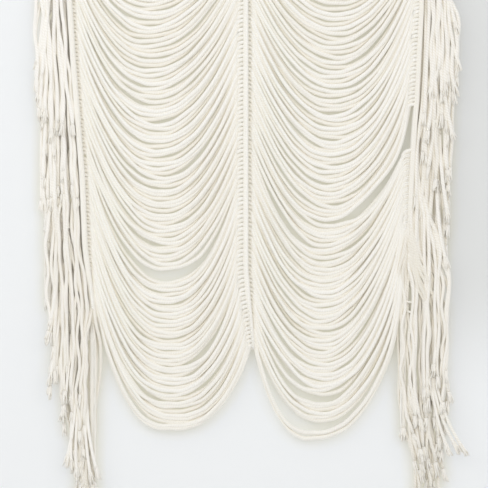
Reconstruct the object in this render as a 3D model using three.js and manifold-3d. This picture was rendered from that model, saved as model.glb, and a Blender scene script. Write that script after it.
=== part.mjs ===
// Curtain of knotted cotton cord, hung by its top edge.
// Three ridged ribs of knots hang from a heading bar. Rows of strands sag between
// the ribs as two swags, and the strand tails fall outside the outer ribs as fringes.
// X runs to the right, -Y is the front, +Z is up, and the origin is the middle of
// the top edge. The strands are drawn at twice their real spacing.
import * as THREE from 'three';
import { mergeVertices } from 'three/addons/utils/BufferGeometryUtils.js';
import Module from 'manifold-3d';

const wasm = await Module();
wasm.setup();

// Driving dimensions in millimetres
const CLEARANCE = 0.3;
const STRAND_SIDE = 4.4;
const LAYER_PITCH = 4.8;
const SWAG_LAYERS = 3;
const HEADING = { left: -310, right: 301, high: 13, deep: 17, corner: 4 };
const RIB = { core: 5, crest: 6.8, coreDeep: 7.6, crestDeep: 8.8, ridges: 20, sides: 6 };
const SWAG_STRANDS = 52;
const SWAG_STEPS = 7;
const BUNCH = { strands: 5, high: 4, lag: 1.9 };
const END_SHORT_OF_AXIS = 1.5;
const END_FALL_POWER = 14;
const BACKING = { wide: 4, deep: 18, foot: 4 };
const TAIL = { strands: 38, round: 2.9, steps: 5, layers: 4, layerPitch: 6.4, rootLayerPitch: 4.7 };
const TAIL_SWING_POWER = 0.7;
const TAIL_SPREAD_SHARE = 0.2;
const TAIL_UNEVEN = { length: 24, lengthTurn: 2.4, side: 0.4, sideTurn: 1.7 };
const STRIP_STEPS = 12;
const STRAND_SECTION = { sides: 4, turn: Math.PI / 4 };
const TAIL_SECTION_SIDES = 3;
const SAME_POINT = 1e-4;

// Ribs: where the middle of each rib lies at each height
const LEFT_RIB = [
  { z: 0, x: -292 },
  { z: -173, x: -283 },
  { z: -336, x: -274 },
  { z: -418, x: -267 },
  { z: -576, x: -257 },
  { z: -668, x: -244 },
];
const MIDDLE_RIB = [
  { z: 0, x: 0 },
  { z: -605, x: 0 },
  { z: -653, x: 4 },
  { z: -730, x: 11 },
];
const RIGHT_RIB = [
  { z: 0, x: 282 },
  { z: -254, x: 279 },
  { z: -336, x: 276 },
  { z: -418, x: 269 },
  { z: -571, x: 259 },
];

// Swags: a row for each level. share counts from the top strand, 0, to the lowest, 1.
// left and right are the heights of the strand's two knots, lowX and low its lowest
// point, bowLeft and bowRight how boxy each half hangs, and fall how much of the
// right half drops straight down beside the rib. A lens opens in the left swag where
// low jumps. The right rib is bare where right jumps, and its knots are packed below.
const LEFT_SWAG = [
  { share: 0.0, left: -13, right: -13, lowX: -158, low: -149, bowLeft: 2.2, bowRight: 2.1, fall: 0 },
  { share: 0.2, left: -143, right: -155, lowX: -150, low: -304, bowLeft: 2.2, bowRight: 2.1, fall: 0 },
  { share: 0.43, left: -293, right: -319, lowX: -133, low: -474, bowLeft: 2.2, bowRight: 2.1, fall: 0 },
  { share: 0.62, left: -417, right: -454, lowX: -127, low: -601, bowLeft: 2.2, bowRight: 2.1, fall: 0 },
  { share: 0.625, left: -421, right: -458, lowX: -127, low: -622, bowLeft: 2.2, bowRight: 2.1, fall: 0 },
  { share: 1.0, left: -664, right: -725, lowX: -117, low: -861, bowLeft: 2.45, bowRight: 2.5, fall: 0.1 },
];
const RIGHT_SWAG = [
  { share: 0.0, left: -13, right: -13, lowX: 140, low: -149, bowLeft: 2.0, bowRight: 2.3, fall: 0 },
  { share: 0.28, left: -212, right: -197, lowX: 139, low: -371, bowLeft: 2.0, bowRight: 2.3, fall: 0 },
  { share: 0.495, left: -366, right: -341, lowX: 128, low: -523, bowLeft: 2.0, bowRight: 2.3, fall: 0 },
  { share: 0.505, left: -373, right: -413, lowX: 127, low: -533, bowLeft: 2.0, bowRight: 2.2, fall: 0 },
  { share: 0.98, left: -711, right: -560, lowX: 120, low: -846, bowLeft: 2.3, bowRight: 2.1, fall: 0.1 },
  { share: 1.0, left: -725, right: -565, lowX: 119, low: -870, bowLeft: 2.4, bowRight: 2.0, fall: 0.15 },
];

// Fringes: a row for each level of roots, with where tails of that level end
const LEFT_FRINGE = [
  { root: -20, endX: -334, end: -341 },
  { root: -173, endX: -327, end: -501 },
  { root: -333, endX: -317, end: -669 },
  { root: -413, endX: -313, end: -757 },
  { root: -493, endX: -300, end: -845 },
  { root: -541, endX: -287, end: -901 },
  { root: -589, endX: -270, end: -949 },
  { root: -658, endX: -244, end: -968 },
];
const RIGHT_FRINGE = [
  { root: -20, endX: 344, end: -309 },
  { root: -173, endX: 335, end: -517 },
  { root: -254, endX: 330, end: -637 },
  { root: -340, endX: 325, end: -725 },
  { root: -413, endX: 319, end: -805 },
  { root: -461, endX: 312, end: -877 },
  { root: -510, endX: 298, end: -933 },
  { root: -535, endX: 276, end: -968 },
  { root: -558, endX: 254, end: -940 },
];

const COTTON = new THREE.MeshStandardMaterial({ color: 0xefe9da, roughness: 0.95, metalness: 0 });
const COTTON_TAILS = new THREE.MeshStandardMaterial({ color: 0xe8e0cc, roughness: 0.95, metalness: 0 });

// Reads a table at one value of its key column, straight between its rows
function tableAt(rows, key, value) {
  const rising = rows[rows.length - 1][key] > rows[0][key];
  const next = rows.findIndex((row) => (rising ? row[key] >= value : row[key] <= value));
  if (next === 0) return rows[0];
  if (next < 0) return rows[rows.length - 1];
  const before = rows[next - 1];
  const after = rows[next];
  const part = (value - before[key]) / (after[key] - before[key]);
  const columns = Object.keys(before).map((name) => [
    name, THREE.MathUtils.lerp(before[name], after[name], part),
  ]);
  return Object.fromEntries(columns);
}

const ribX = (rib, z) => tableAt(rib, 'z', z).x;
const ribFoot = (rib) => rib[rib.length - 1].z;

// Closed geometry to solid, with shared points merged and empty faces dropped
function solidOf(geometry) {
  const bare = geometry.clone();
  bare.deleteAttribute('normal');
  bare.deleteAttribute('uv');
  const merged = mergeVertices(bare, SAME_POINT);
  const corners = merged.index.array;
  const kept = [];
  for (let i = 0; i < corners.length; i += 3) {
    const [a, b, c] = [corners[i], corners[i + 1], corners[i + 2]];
    if (a !== b && b !== c && c !== a) kept.push(a, b, c);
  }
  return new wasm.Manifold(new wasm.Mesh({
    numProp: 3,
    vertProperties: new Float32Array(merged.attributes.position.array),
    triVerts: new Uint32Array(kept),
  }));
}

const joined = (solids) => solids.reduce((sum, solid) => sum.add(solid));

// Solid to a named mesh
function meshOf(solid, name, material) {
  const { vertProperties, triVerts, numProp } = solid.getMesh();
  const geometry = new THREE.BufferGeometry();
  const points = new THREE.InterleavedBuffer(new Float32Array(vertProperties), numProp);
  geometry.setAttribute('position', new THREE.InterleavedBufferAttribute(points, 3, 0));
  geometry.setIndex(new THREE.BufferAttribute(new Uint32Array(triVerts), 1));
  const flat = geometry.toNonIndexed();
  flat.computeVertexNormals();
  const mesh = new THREE.Mesh(flat, material);
  mesh.name = name;
  return mesh;
}

// A regular section of so many sides around its own middle
function section(sides, radius, turn) {
  const corners = Array.from({ length: sides }, (_, i) => {
    const angle = turn + (2 * Math.PI * i) / sides;
    return new THREE.Vector2(radius * Math.cos(angle), radius * Math.sin(angle));
  });
  return new THREE.Shape(corners);
}

// A rib: a turned bar with ridges, flattened in width and leant along its path
function ribSolid(rib) {
  const long = -ribFoot(rib);
  const pitch = long / RIB.ridges;
  const profile = [new THREE.Vector2(0, -long), new THREE.Vector2(RIB.core, -long)];
  for (let i = RIB.ridges - 1; i >= 0; i -= 1) {
    profile.push(new THREE.Vector2(RIB.crest, -(i + 0.5) * pitch));
    profile.push(new THREE.Vector2(RIB.core, -i * pitch));
  }
  profile.push(new THREE.Vector2(0, 0));
  const bar = new THREE.LatheGeometry(profile, RIB.sides);
  bar.rotateX(Math.PI / 2);
  const points = bar.attributes.position;
  for (let i = 0; i < points.count; i += 1) {
    const across = Math.hypot(points.getX(i), points.getY(i));
    const rise = (across - RIB.core) / (RIB.crest - RIB.core);
    const deep = across > 0 ? THREE.MathUtils.lerp(RIB.coreDeep, RIB.crestDeep, rise) / across : 1;
    points.setX(i, points.getX(i) + ribX(rib, points.getZ(i)));
    points.setY(i, points.getY(i) * deep);
  }
  return solidOf(bar);
}

// The heading bar, with bevelled long edges
function headingSolid() {
  const { left, right, high, deep, corner } = HEADING;
  const [y, z] = [deep / 2, high / 2];
  const outline = new THREE.Shape([
    [-y, -z + corner], [-y, z - corner], [-y + corner, z], [y - corner, z],
    [y, z - corner], [y, -z + corner], [y - corner, -z], [-y + corner, -z],
  ].map(([a, b]) => new THREE.Vector2(a, b)));
  const bar = new THREE.ExtrudeGeometry(outline, { depth: right - left, bevelEnabled: false });
  bar.applyMatrix4(new THREE.Matrix4().makeBasis(
    new THREE.Vector3(0, 1, 0), new THREE.Vector3(0, 0, 1), new THREE.Vector3(1, 0, 0),
  ));
  bar.translate(left, 0, -high / 2);
  return solidOf(bar);
}

// Neighbouring strands lie in layers, so that they pass without touching
const layerOf = (i, layers) => (i % layers) - (layers - 1) / 2;

// A strand of a swag, hung between its two knots
class SwagCurve extends THREE.Curve {
  constructor(row, leftRib, rightRib, number) {
    super();
    this.row = row;
    this.leftX = ribX(leftRib, row.left) + END_SHORT_OF_AXIS;
    this.rightX = ribX(rightRib, row.right) - END_SHORT_OF_AXIS;
    this.layer = layerOf(number, SWAG_LAYERS) * LAYER_PITCH;
    this.turn = (2 * Math.PI * number) / BUNCH.strands;
  }

  getPoint(t, target = new THREE.Vector3()) {
    const { left, right, lowX, low, bowLeft, bowRight, fall } = this.row;
    const onLeft = t < 0.5;
    const out = Math.abs(2 * t - 1);
    const endX = onLeft ? this.leftX : this.rightX;
    const sag = (onLeft ? left : right) - low;
    const straight = onLeft ? 0 : fall;
    const rise = (1 - straight) * out ** (onLeft ? bowLeft : bowRight) + straight * out ** END_FALL_POWER;
    const bunch = BUNCH.high * Math.sin(this.turn + (onLeft ? 0 : BUNCH.lag)) * Math.sin(Math.PI * out);
    return target.set(lowX + (endX - lowX) * out, this.layer, low + sag * rise + bunch);
  }
}

// The strands of one swag, each a square bar along its curve
function swagSolids(rows, leftRib, rightRib) {
  const square = section(STRAND_SECTION.sides, STRAND_SIDE / Math.SQRT2, STRAND_SECTION.turn);
  return Array.from({ length: SWAG_STRANDS }, (_, i) => {
    const row = tableAt(rows, 'share', i / (SWAG_STRANDS - 1));
    const extrudePath = new SwagCurve(row, leftRib, rightRib, i);
    return solidOf(new THREE.ExtrudeGeometry(square, { steps: SWAG_STEPS, extrudePath }));
  });
}

// A tail of a fringe, from its root in the backing to its free end
class TailCurve extends THREE.Curve {
  constructor(start, end) {
    super();
    this.start = start;
    this.end = end;
  }

  getPoint(t, target = new THREE.Vector3()) {
    const swing = t ** TAIL_SWING_POWER;
    const spread = Math.min(1, t / TAIL_SPREAD_SHARE);
    return target.set(
      THREE.MathUtils.lerp(this.start.x, this.end.x, swing),
      THREE.MathUtils.lerp(this.start.y, this.end.y, spread),
      THREE.MathUtils.lerp(this.start.z, this.end.z, t),
    );
  }
}

// A fringe on the outer side of a rib: side is -1 on the left and 1 on the right
function fringeSolid(rows, rib, side) {
  const inner = RIB.crest + CLEARANCE;
  const top = -HEADING.high - CLEARANCE;
  const foot = rows[rows.length - 1].root - BACKING.foot;
  const middle = (z) => ribX(rib, z) + side * (inner + BACKING.wide / 2);
  const strip = new THREE.BoxGeometry(BACKING.wide, BACKING.deep, top - foot, 1, 1, STRIP_STEPS);
  strip.translate(0, 0, (top + foot) / 2);
  const points = strip.attributes.position;
  for (let i = 0; i < points.count; i += 1) points.setX(i, points.getX(i) + middle(points.getZ(i)));

  const round = section(TAIL_SECTION_SIDES, TAIL.round, 0);
  const tails = Array.from({ length: TAIL.strands }, (_, i) => {
    const root = THREE.MathUtils.lerp(rows[0].root, rows[rows.length - 1].root, i / (TAIL.strands - 1));
    const row = tableAt(rows, 'root', root);
    const layer = layerOf(i, TAIL.layers);
    const start = new THREE.Vector3(middle(root), layer * TAIL.rootLayerPitch, root);
    const end = new THREE.Vector3(
      row.endX + TAIL_UNEVEN.side * Math.sin(TAIL_UNEVEN.sideTurn * i),
      layer * TAIL.layerPitch,
      row.end + TAIL_UNEVEN.length * Math.sin(TAIL_UNEVEN.lengthTurn * i),
    );
    const extrudePath = new TailCurve(start, end);
    return solidOf(new THREE.ExtrudeGeometry(round, { steps: TAIL.steps, extrudePath }));
  });
  return { strip: solidOf(strip), tails };
}

const curtain = new THREE.Group();

const net = joined([
  headingSolid(),
  ribSolid(LEFT_RIB),
  ribSolid(MIDDLE_RIB),
  ribSolid(RIGHT_RIB),
  ...swagSolids(LEFT_SWAG, LEFT_RIB, MIDDLE_RIB),
  ...swagSolids(RIGHT_SWAG, MIDDLE_RIB, RIGHT_RIB),
]);
curtain.add(meshOf(net, 'knotted_swags', COTTON));

const leftFringe = fringeSolid(LEFT_FRINGE, LEFT_RIB, -1);
curtain.add(meshOf(joined([leftFringe.strip, ...leftFringe.tails]), 'left_fringe', COTTON_TAILS));

const rightFringe = fringeSolid(RIGHT_FRINGE, RIGHT_RIB, 1);
curtain.add(meshOf(joined([rightFringe.strip, ...rightFringe.tails]), 'right_fringe', COTTON_TAILS));

export default curtain;
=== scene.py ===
# %% [markdown]
# A curtain of knotted cotton cord
#
# The real curtain has no cloth in it. About a hundred cotton cords cross it from side
# to side, and each one is hitched round three upright carrier bundles. Between the
# bundles the cords sag as two deep swags, and outside them their tails hang loose.
# This lesson builds the cords as swept tubes, because a cord is a round section carried
# along a path, and works the paths out from short tables, because neighbouring cords
# hang alike. Then it adds the knots, the frayed ends and the heading.

# %% Load the frame
import math

import bpy
import numpy as np
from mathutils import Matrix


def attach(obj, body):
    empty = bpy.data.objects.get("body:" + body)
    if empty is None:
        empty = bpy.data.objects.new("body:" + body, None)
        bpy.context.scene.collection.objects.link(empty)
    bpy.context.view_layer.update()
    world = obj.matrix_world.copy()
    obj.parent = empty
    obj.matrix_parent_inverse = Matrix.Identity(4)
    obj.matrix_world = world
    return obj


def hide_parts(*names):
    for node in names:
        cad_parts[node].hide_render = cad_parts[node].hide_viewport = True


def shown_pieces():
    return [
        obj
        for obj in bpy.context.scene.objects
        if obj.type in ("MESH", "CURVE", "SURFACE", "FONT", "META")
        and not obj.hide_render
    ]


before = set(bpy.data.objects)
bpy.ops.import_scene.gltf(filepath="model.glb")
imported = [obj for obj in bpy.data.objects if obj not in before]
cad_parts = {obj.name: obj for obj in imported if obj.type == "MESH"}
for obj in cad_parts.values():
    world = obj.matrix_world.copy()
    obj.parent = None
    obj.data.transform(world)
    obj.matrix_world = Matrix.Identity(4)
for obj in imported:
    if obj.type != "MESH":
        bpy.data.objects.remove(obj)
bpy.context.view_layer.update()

# %% [markdown]
# The camera comes first. It looks straight at the curtain from far away through a long
# lens, because the cords at the left and right edges show no perspective. The frame is
# 0.78 m wide, so the heading at the top and the last ends of the tails fall outside it.

# %% Camera
VIEW_WIDTH = 0.7808
VIEW_MIDDLE = (-0.0024, -0.5632)
CAMERA_DISTANCE = 4.0
SENSOR_WIDTH = 36.0


def deselect_all():
    """Leaves nothing selected, because an operator acts on all that is."""
    bpy.ops.object.select_all(action="DESELECT")


deselect_all()
bpy.ops.object.camera_add(
    location=(VIEW_MIDDLE[0], -CAMERA_DISTANCE, VIEW_MIDDLE[1]),
    rotation=(math.pi / 2, 0, 0),
)
camera = bpy.context.object
camera.data.sensor_width = SENSOR_WIDTH
camera.data.lens = SENSOR_WIDTH * CAMERA_DISTANCE / VIEW_WIDTH
bpy.context.scene.camera = camera
bpy.context.scene.view_settings.view_transform = "Standard"
print("lens", round(camera.data.lens, 1), "mm")

# %% [markdown]
# Every size is a real one in metres, and heights are counted down from the top edge. A
# rib is an upright bundle with the cords hitched round it one below the other. It could
# be a straight bar, but the outer ribs of the real curtain lean in, and the middle one
# bends at its foot, where its last cords pull on it. So each rib is a short table of
# where its middle lies at each height. All three are slimmer at the foot.

# %% Ribs
CORDS = 104
RIBS = {
    # height, middle
    "left": np.array([
        (0.000, -0.292), (-0.173, -0.282), (-0.269, -0.276), (-0.333, -0.271),
        (-0.461, -0.261), (-0.557, -0.2575), (-0.576, -0.256), (-0.668, -0.244),
    ]),
    "middle": np.array([
        (0.000, 0.000), (-0.605, 0.000), (-0.653, 0.004), (-0.730, 0.011),
    ]),
    "right": np.array([
        (0.000, 0.283), (-0.189, 0.281), (-0.254, 0.2775), (-0.336, 0.2735),
        (-0.365, 0.271), (-0.418, 0.2675), (-0.565, 0.260), (-0.655, 0.252),
    ]),
}
HALF_RIB = {"left": 0.0056, "middle": 0.0056, "right": 0.0058}
FEET = {"left": -0.664, "middle": -0.725, "right": -0.565}
FOOT_LONG = 0.090
FOOT_WIDTH = 0.65


def ramp(past, length):
    """From 0 to 1 as something passes along a length."""
    return np.clip(past / length, 0, 1)


def rib_x(rib, height):
    """Where the middle of a rib lies at a height."""
    table = RIBS[rib]
    return np.interp(-np.asarray(height), -table[:, 0], table[:, 1])


def above_foot(rib, height):
    """1 along a rib, and down to 0 over its foot."""
    return ramp(np.asarray(height) - FEET[rib], FOOT_LONG)


def half_rib(rib, height):
    """Half the width of a rib over its wraps, which is less at the foot."""
    return HALF_RIB[rib] * (FOOT_WIDTH + (1 - FOOT_WIDTH) * above_foot(rib, height))


for rib, foot in FEET.items():
    print(rib, "rib, middle at the top and foot", rib_x(rib, 0), rib_x(rib, foot))

# %% [markdown]
# A swag is a family of hanging cords. Its table has a row for a few levels, from the
# top cord, share 0, to the lowest, share 1, and every other cord lies between two
# rows. The columns are the heights of its two knots, its lowest point across and up,
# how boxy its left and right halves hang, and how much of the right half falls
# straight beside the rib. Two rows close together make a step from one cord to the
# next, as at the lens in the left swag and at the bare stretch of the right rib.

# %% Swag tables
SWAG_COLUMNS = ("share", "left", "right", "low_x", "low", "bow_left", "bow_right", "fall")
SWAGS = {
    "left": np.array([
        (0.0000, -0.020, -0.020, -0.158, -0.149, 2.2, 2.1, 0.0),
        (0.2000, -0.143, -0.155, -0.150, -0.304, 2.2, 2.1, 0.0),
        (0.4300, -0.293, -0.319, -0.133, -0.474, 2.2, 2.1, 0.0),
        (0.6245, -0.419, -0.457, -0.127, -0.604, 2.2, 2.25, 0.0),
        (0.6275, -0.424, -0.460, -0.127, -0.623, 2.2, 2.45, 0.0),
        (0.7000, -0.472, -0.512, -0.125, -0.670, 2.25, 2.35, 0.02),
        (1.0000, -0.664, -0.725, -0.117, -0.861, 2.45, 2.5, 0.1),
    ]),
    "right": np.array([
        (0.0000, -0.020, -0.020, 0.140, -0.149, 2.0, 2.3, 0.0),
        (0.2800, -0.212, -0.197, 0.139, -0.371, 2.0, 2.3, 0.0),
        (0.4200, -0.313, -0.290, 0.132, -0.471, 2.0, 2.2, 0.08),
        (0.4970, -0.369, -0.341, 0.128, -0.526, 2.0, 2.0, 0.30),
        (0.5030, -0.371, -0.413, 0.127, -0.533, 2.0, 2.05, 0.0),
        (0.8000, -0.583, -0.505, 0.123, -0.728, 2.2, 2.10, 0.06),
        (0.9223, -0.670, -0.542, 0.121, -0.803, 2.2, 2.1, 0.25),
        (0.9320, -0.677, -0.545, 0.121, -0.818, 2.2, 2.1, 0.27),
        (0.9806, -0.711, -0.560, 0.119, -0.846, 2.2, 2.1, 0.35),
        (0.9903, -0.718, -0.562, 0.119, -0.866, 2.9, 2.0, 0.38),
        (1.0000, -0.725, -0.565, 0.118, -0.871, 3.0, 2.0, 0.40),
    ]),
}
SWAG_RIBS = {"left": ("left", "middle"), "right": ("middle", "right")}
FALL_POWER = 14
print("levels read", {side: len(table) for side, table in SWAGS.items()})

# %% [markdown]
# Hanging cords cling together in bunches, and dark gaps open between the bunches where
# the cords run steeply. Chance would put the gaps anywhere, so each half of each swag
# has its own short table of them: the share at which a gap lies and how wide it opens.

# %% Gaps between bunches
GAPS = {
    ("left", "left"): np.array([
        (0.108, 0.012), (0.159, 0.006), (0.205, 0.004), (0.258, 0.011), (0.297, 0.006),
        (0.341, 0.015), (0.408, 0.010), (0.470, 0.005), (0.542, 0.012), (0.612, 0.015),
        (0.637, 0.010), (0.700, 0.005), (0.786, 0.014), (0.840, 0.005), (0.891, 0.010),
        (0.930, 0.005), (0.967, 0.007),
    ]),
    ("left", "right"): np.array([
        (0.050, 0.005), (0.136, 0.009), (0.210, 0.005), (0.305, 0.009), (0.370, 0.010),
        (0.450, 0.005), (0.530, 0.005), (0.612, 0.012), (0.704, 0.011), (0.770, 0.005),
        (0.843, 0.011), (0.913, 0.010), (0.960, 0.005),
    ]),
    ("right", "left"): np.array([
        (0.060, 0.005), (0.180, 0.008), (0.212, 0.008), (0.275, 0.008), (0.350, 0.006),
        (0.413, 0.006), (0.475, 0.010), (0.556, 0.014), (0.627, 0.010), (0.690, 0.005),
        (0.743, 0.010), (0.783, 0.006), (0.847, 0.014), (0.904, 0.013), (0.927, 0.010),
        (0.975, 0.007),
    ]),
    ("right", "right"): np.array([
        (0.050, 0.005), (0.124, 0.008), (0.160, 0.012), (0.208, 0.008), (0.289, 0.007),
        (0.360, 0.004), (0.430, 0.005), (0.503, 0.018), (0.580, 0.005), (0.660, 0.006),
        (0.740, 0.005), (0.830, 0.013), (0.900, 0.006), (0.955, 0.012),
    ]),
}
GAPS_OPEN = 1.1
BEYOND = 0.05


def drawn_together(gaps, shares):
    """How far down a cord is drawn towards the middle of its bunch."""
    places = np.concatenate([[-BEYOND], gaps[:, 0], [1 + BEYOND]])
    widths = GAPS_OPEN * np.concatenate([[0], gaps[:, 1], [0]])
    upper = np.searchsorted(places, shares) - 1
    along = (shares - places[upper]) / (places[upper + 1] - places[upper])
    return widths[upper] / 2 * (1 - along) - widths[upper + 1] / 2 * along


print("gaps", sum(len(gaps) for gaps in GAPS.values()))

# %% [markdown]
# Each cord now gets its own values, as one column of numbers for each value. The cords
# lie in three layers in depth, so that neighbours can pass where they run steep and
# close. No hand ties evenly, so each lowest point, arch and wave is a little off, by
# numbers from a generator with a fixed start, which gives the same curtain every time.

# %% Uneven cords
SWAG_LAYERS = 3
UNEVEN_LOW = 0.0010
UNEVEN_LOW_X = 0.004
UNEVEN_ARCH = 0.2
rng = np.random.default_rng(7)


def uneven_cords(side):
    """The columns of a swag's table for each cord, and what is its own."""
    table = SWAGS[side]
    shares = np.linspace(0, 1, CORDS)[:, None]
    cord = {}
    for number, name in enumerate(SWAG_COLUMNS):
        cord[name] = np.interp(shares, table[:, 0], table[:, number])
    cord["low"] = cord["low"] + rng.normal(0, UNEVEN_LOW, (CORDS, 1))
    cord["low_x"] = cord["low_x"] + rng.normal(0, UNEVEN_LOW_X, (CORDS, 1))
    cord["layer"] = np.arange(CORDS)[:, None] % SWAG_LAYERS - 1
    cord["arch"] = 1 + UNEVEN_ARCH * rng.uniform(-1, 1, (CORDS, 1))
    cord["wander"] = rng.uniform(-1, 1, (CORDS, 1))
    cord["phase"] = rng.uniform(0, 1, (CORDS, 1))
    return cord


swag_cords = {side: uneven_cords(side) for side in SWAGS}
for side, cord in swag_cords.items():
    print(side, "swag hangs down to", round(float(cord["low"].min()), 3))

# %% [markdown]
# A cord doesn't leave its knot downwards. It comes off the rib sideways and bends over
# within a few millimetres, which gives each rib its row of little arches. On the left
# of a rib the cord comes over the front of the wraps, and on the right it comes out
# from behind them, so that side of the rib has a dark line with small holes. A quarter
# of an ellipse makes the arch, because only its reach and its drop have to be known.
# Both are larger below the bare stretch of the right rib.

# %% Arches at the ribs
ARCH_OUT = 0.0060
ARCH_DROP = 0.0052
ARCH_AT_FOOT = 0.25
WIDE_ARCH = 0.007
WIDE_ARCH_FROM = -0.412
WIDE_ARCH_TO = -0.460
FRONT_KNOT = -0.0058
BACK_KNOT = 0.0038
CROWDED = 0.0050
CROWD_DEPTH = 0.0018


def arch_size(rib, knot, uneven):
    """How far a cord stands out of its rib, and how far it drops, as it bends over."""
    out = ARCH_OUT * (ARCH_AT_FOOT + (1 - ARCH_AT_FOOT) * above_foot(rib, knot))
    drop = ARCH_DROP + 0 * knot
    if rib == "right":
        below_bare = ramp(knot - WIDE_ARCH_TO, WIDE_ARCH_FROM - WIDE_ARCH_TO)
        wider = below_bare * (knot < WIDE_ARCH_FROM)
        out = out + WIDE_ARCH * wider
        drop = drop + WIDE_ARCH * wider
    return out * uneven, drop


def knot_pitch(heights):
    """How far each knot lies from its neighbours."""
    return np.abs(np.gradient(heights, axis=0))


def knot_depth(half, cord):
    """How deep a cord leaves its knot, with the layers apart where knots are packed."""
    crowding = np.clip(1 - knot_pitch(cord[half]) / CROWDED, 0, 1)
    leaves = FRONT_KNOT if half == "right" else BACK_KNOT
    return leaves + CROWD_DEPTH * cord["layer"] * crowding


print("middle knots", round(float(knot_pitch(swag_cords["left"]["right"]).mean()), 4), "m apart")

# %% [markdown]
# Now the hanging cords themselves. A rope simulation would hang them too, but not along
# the lines of the real ones. So a cord is a list of points from its left knot to its
# right one. It rises from its lowest point as a power of the distance out, so it is
# flat in the middle and steep near its knots. The rear layer hardly joins the bunches,
# so that shaded cord shows in the gaps.

# %% Half of each hanging cord
HALF_POINTS = 22
POINTS_CLOSER = 0.85
LAYER_PULL = np.array([1.0, 0.8, 0.1])
PULL_PLACE, PULL_TAPER = 1.4, 1.2
WANDER, WANDER_TURNS = 0.0014, 1.5
QUIVER, QUIVER_TURNS, QUIVER_SHIFT, QUIVER_FADE = 0.0004, 3.7, 5, 4
LAYER_DEPTH = 0.0032
FLAT_LAYERS = 0.25
STEEP_FROM = 0.45
LAYERS_MEET = 10
SWAG_BACK = 0.0035
ARCH_STARTS, ARCH_STARTS_FROM = 0.45, 8
ARCH_TURN = np.array([0.28, 0.52, 0.76, 1.0])
DIVE_IN, DIVE_DEEP = 0.35, 0.6


def swag_half(side, half, rib, cord):
    """One half of each cord, from its lowest point out into its knot."""
    sign = -1 if half == "left" else 1
    knot = cord[half]
    middle = rib_x(rib, knot)
    edge = middle - sign * half_rib(rib, knot)
    arch_out, arch_drop = arch_size(rib, knot, cord["arch"])
    knot_y = knot_depth(half, cord)

    out = np.linspace(0, 1, HALF_POINTS)[None, :] ** POINTS_CLOSER
    fall = cord["fall"] if half == "right" else 0
    rise = (1 - fall) * out ** cord["bow_" + half] + fall * out**FALL_POWER
    x = cord["low_x"] + (edge - sign * arch_out - cord["low_x"]) * out
    z = cord["low"] + (knot - arch_drop - cord["low"]) * rise
    pull = drawn_together(GAPS[side, half], cord["share"]) * LAYER_PULL[cord["layer"] + 1]
    z = z - pull * np.sin(math.pi * out**PULL_PLACE) ** PULL_TAPER
    wander = np.sin(2 * math.pi * (WANDER_TURNS * sign * out + cord["phase"]))
    quiver = np.sin(2 * math.pi * (QUIVER_TURNS * sign * out + QUIVER_SHIFT * cord["phase"]))
    z = z + WANDER * cord["wander"] * wander
    z = z + QUIVER * quiver * (1 - out**QUIVER_FADE)

    apart = FLAT_LAYERS + (1 - FLAT_LAYERS) * ramp(out, STEEP_FROM) ** 2
    y = LAYER_DEPTH * cord["layer"] * apart * (1 - out**LAYERS_MEET)
    y = y + ARCH_STARTS * knot_y * out**ARCH_STARTS_FROM
    y = y + SWAG_BACK * (1 - out**2)

    turn = math.pi / 2 * ARCH_TURN[None, :]
    arch_x = edge - sign * arch_out * np.cos(turn)
    arch_y = knot_y * (ARCH_STARTS + (1 - ARCH_STARTS) * np.sin(turn))
    arch_z = knot - arch_drop * (1 - np.sin(turn))
    dive_x = middle - sign * DIVE_IN * half_rib(rib, knot)
    free = np.stack([x, y, z], axis=-1)
    arch = np.stack([arch_x, arch_y, arch_z], axis=-1)
    dive = np.stack([dive_x, DIVE_DEEP * knot_y, knot], axis=-1)
    return np.concatenate([free, arch, dive], axis=1)


print("points in half a cord", HALF_POINTS + len(ARCH_TURN) + 1)

# %% Whole hanging cords


def swag_paths(side):
    """Every cord of a swag, from its left knot to its right one."""
    left_rib, right_rib = SWAG_RIBS[side]
    left = swag_half(side, "left", left_rib, swag_cords[side])
    right = swag_half(side, "right", right_rib, swag_cords[side])
    return np.concatenate([left[:, ::-1], right[:, 1:]], axis=1)


def length_of(all_paths):
    """The summed length of all the paths, in metres."""
    steps = [np.linalg.norm(np.diff(paths, axis=1), axis=2).sum() for paths in all_paths.values()]
    return round(float(sum(steps)), 1)


all_swag_paths = {side: swag_paths(side) for side in SWAGS}
print("cord in the swags", length_of(all_swag_paths), "m")

# %% [markdown]
# A cord isn't equally thick all along. Where it hangs slack it spreads to 7.6 mm and
# touches its neighbours, where it runs steeply it is 5 to 6 mm thick, and a hitch
# squeezes it further. So each point of a path has a radius of its own, from its slope
# and from the room that its knot has.

# %% Thickness of the hanging cords
CORD_RADIUS = 0.0038
STEEP_RADIUS = {"left": 0.0025, "right": 0.0031}
SQUEEZE_SHARE = 0.50
SQUEEZED_LEAST = 0.0013
SQUEEZED_MOST = 0.0030
SQUEEZE = np.array([0.25, 0.5, 0.75, 1.0, 1.0, 1.0])


def swag_radii(side):
    """The radius at each point, less on steep stretches and least at packed knots."""
    run = np.gradient(all_swag_paths[side], axis=1)
    slope = np.abs(run[..., 2]) / np.linalg.norm(run, axis=2)
    steep = np.where(run[..., 2] < 0, STEEP_RADIUS["left"], STEEP_RADIUS["right"])
    radii = CORD_RADIUS + (steep - CORD_RADIUS) * slope**2
    for half, ends, squeeze in (
        ("left", slice(None, len(SQUEEZE)), SQUEEZE[::-1]),
        ("right", slice(-len(SQUEEZE), None), SQUEEZE),
    ):
        room = SQUEEZE_SHARE * knot_pitch(swag_cords[side][half])
        knot_radius = np.clip(room, SQUEEZED_LEAST, SQUEEZED_MOST)
        radii[:, ends] += (knot_radius - radii[:, ends]) * squeeze
    return radii


all_swag_radii = {side: swag_radii(side) for side in SWAGS}
print("thickest", round(2000 * float(all_swag_radii["left"].max()), 1), "mm")

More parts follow.
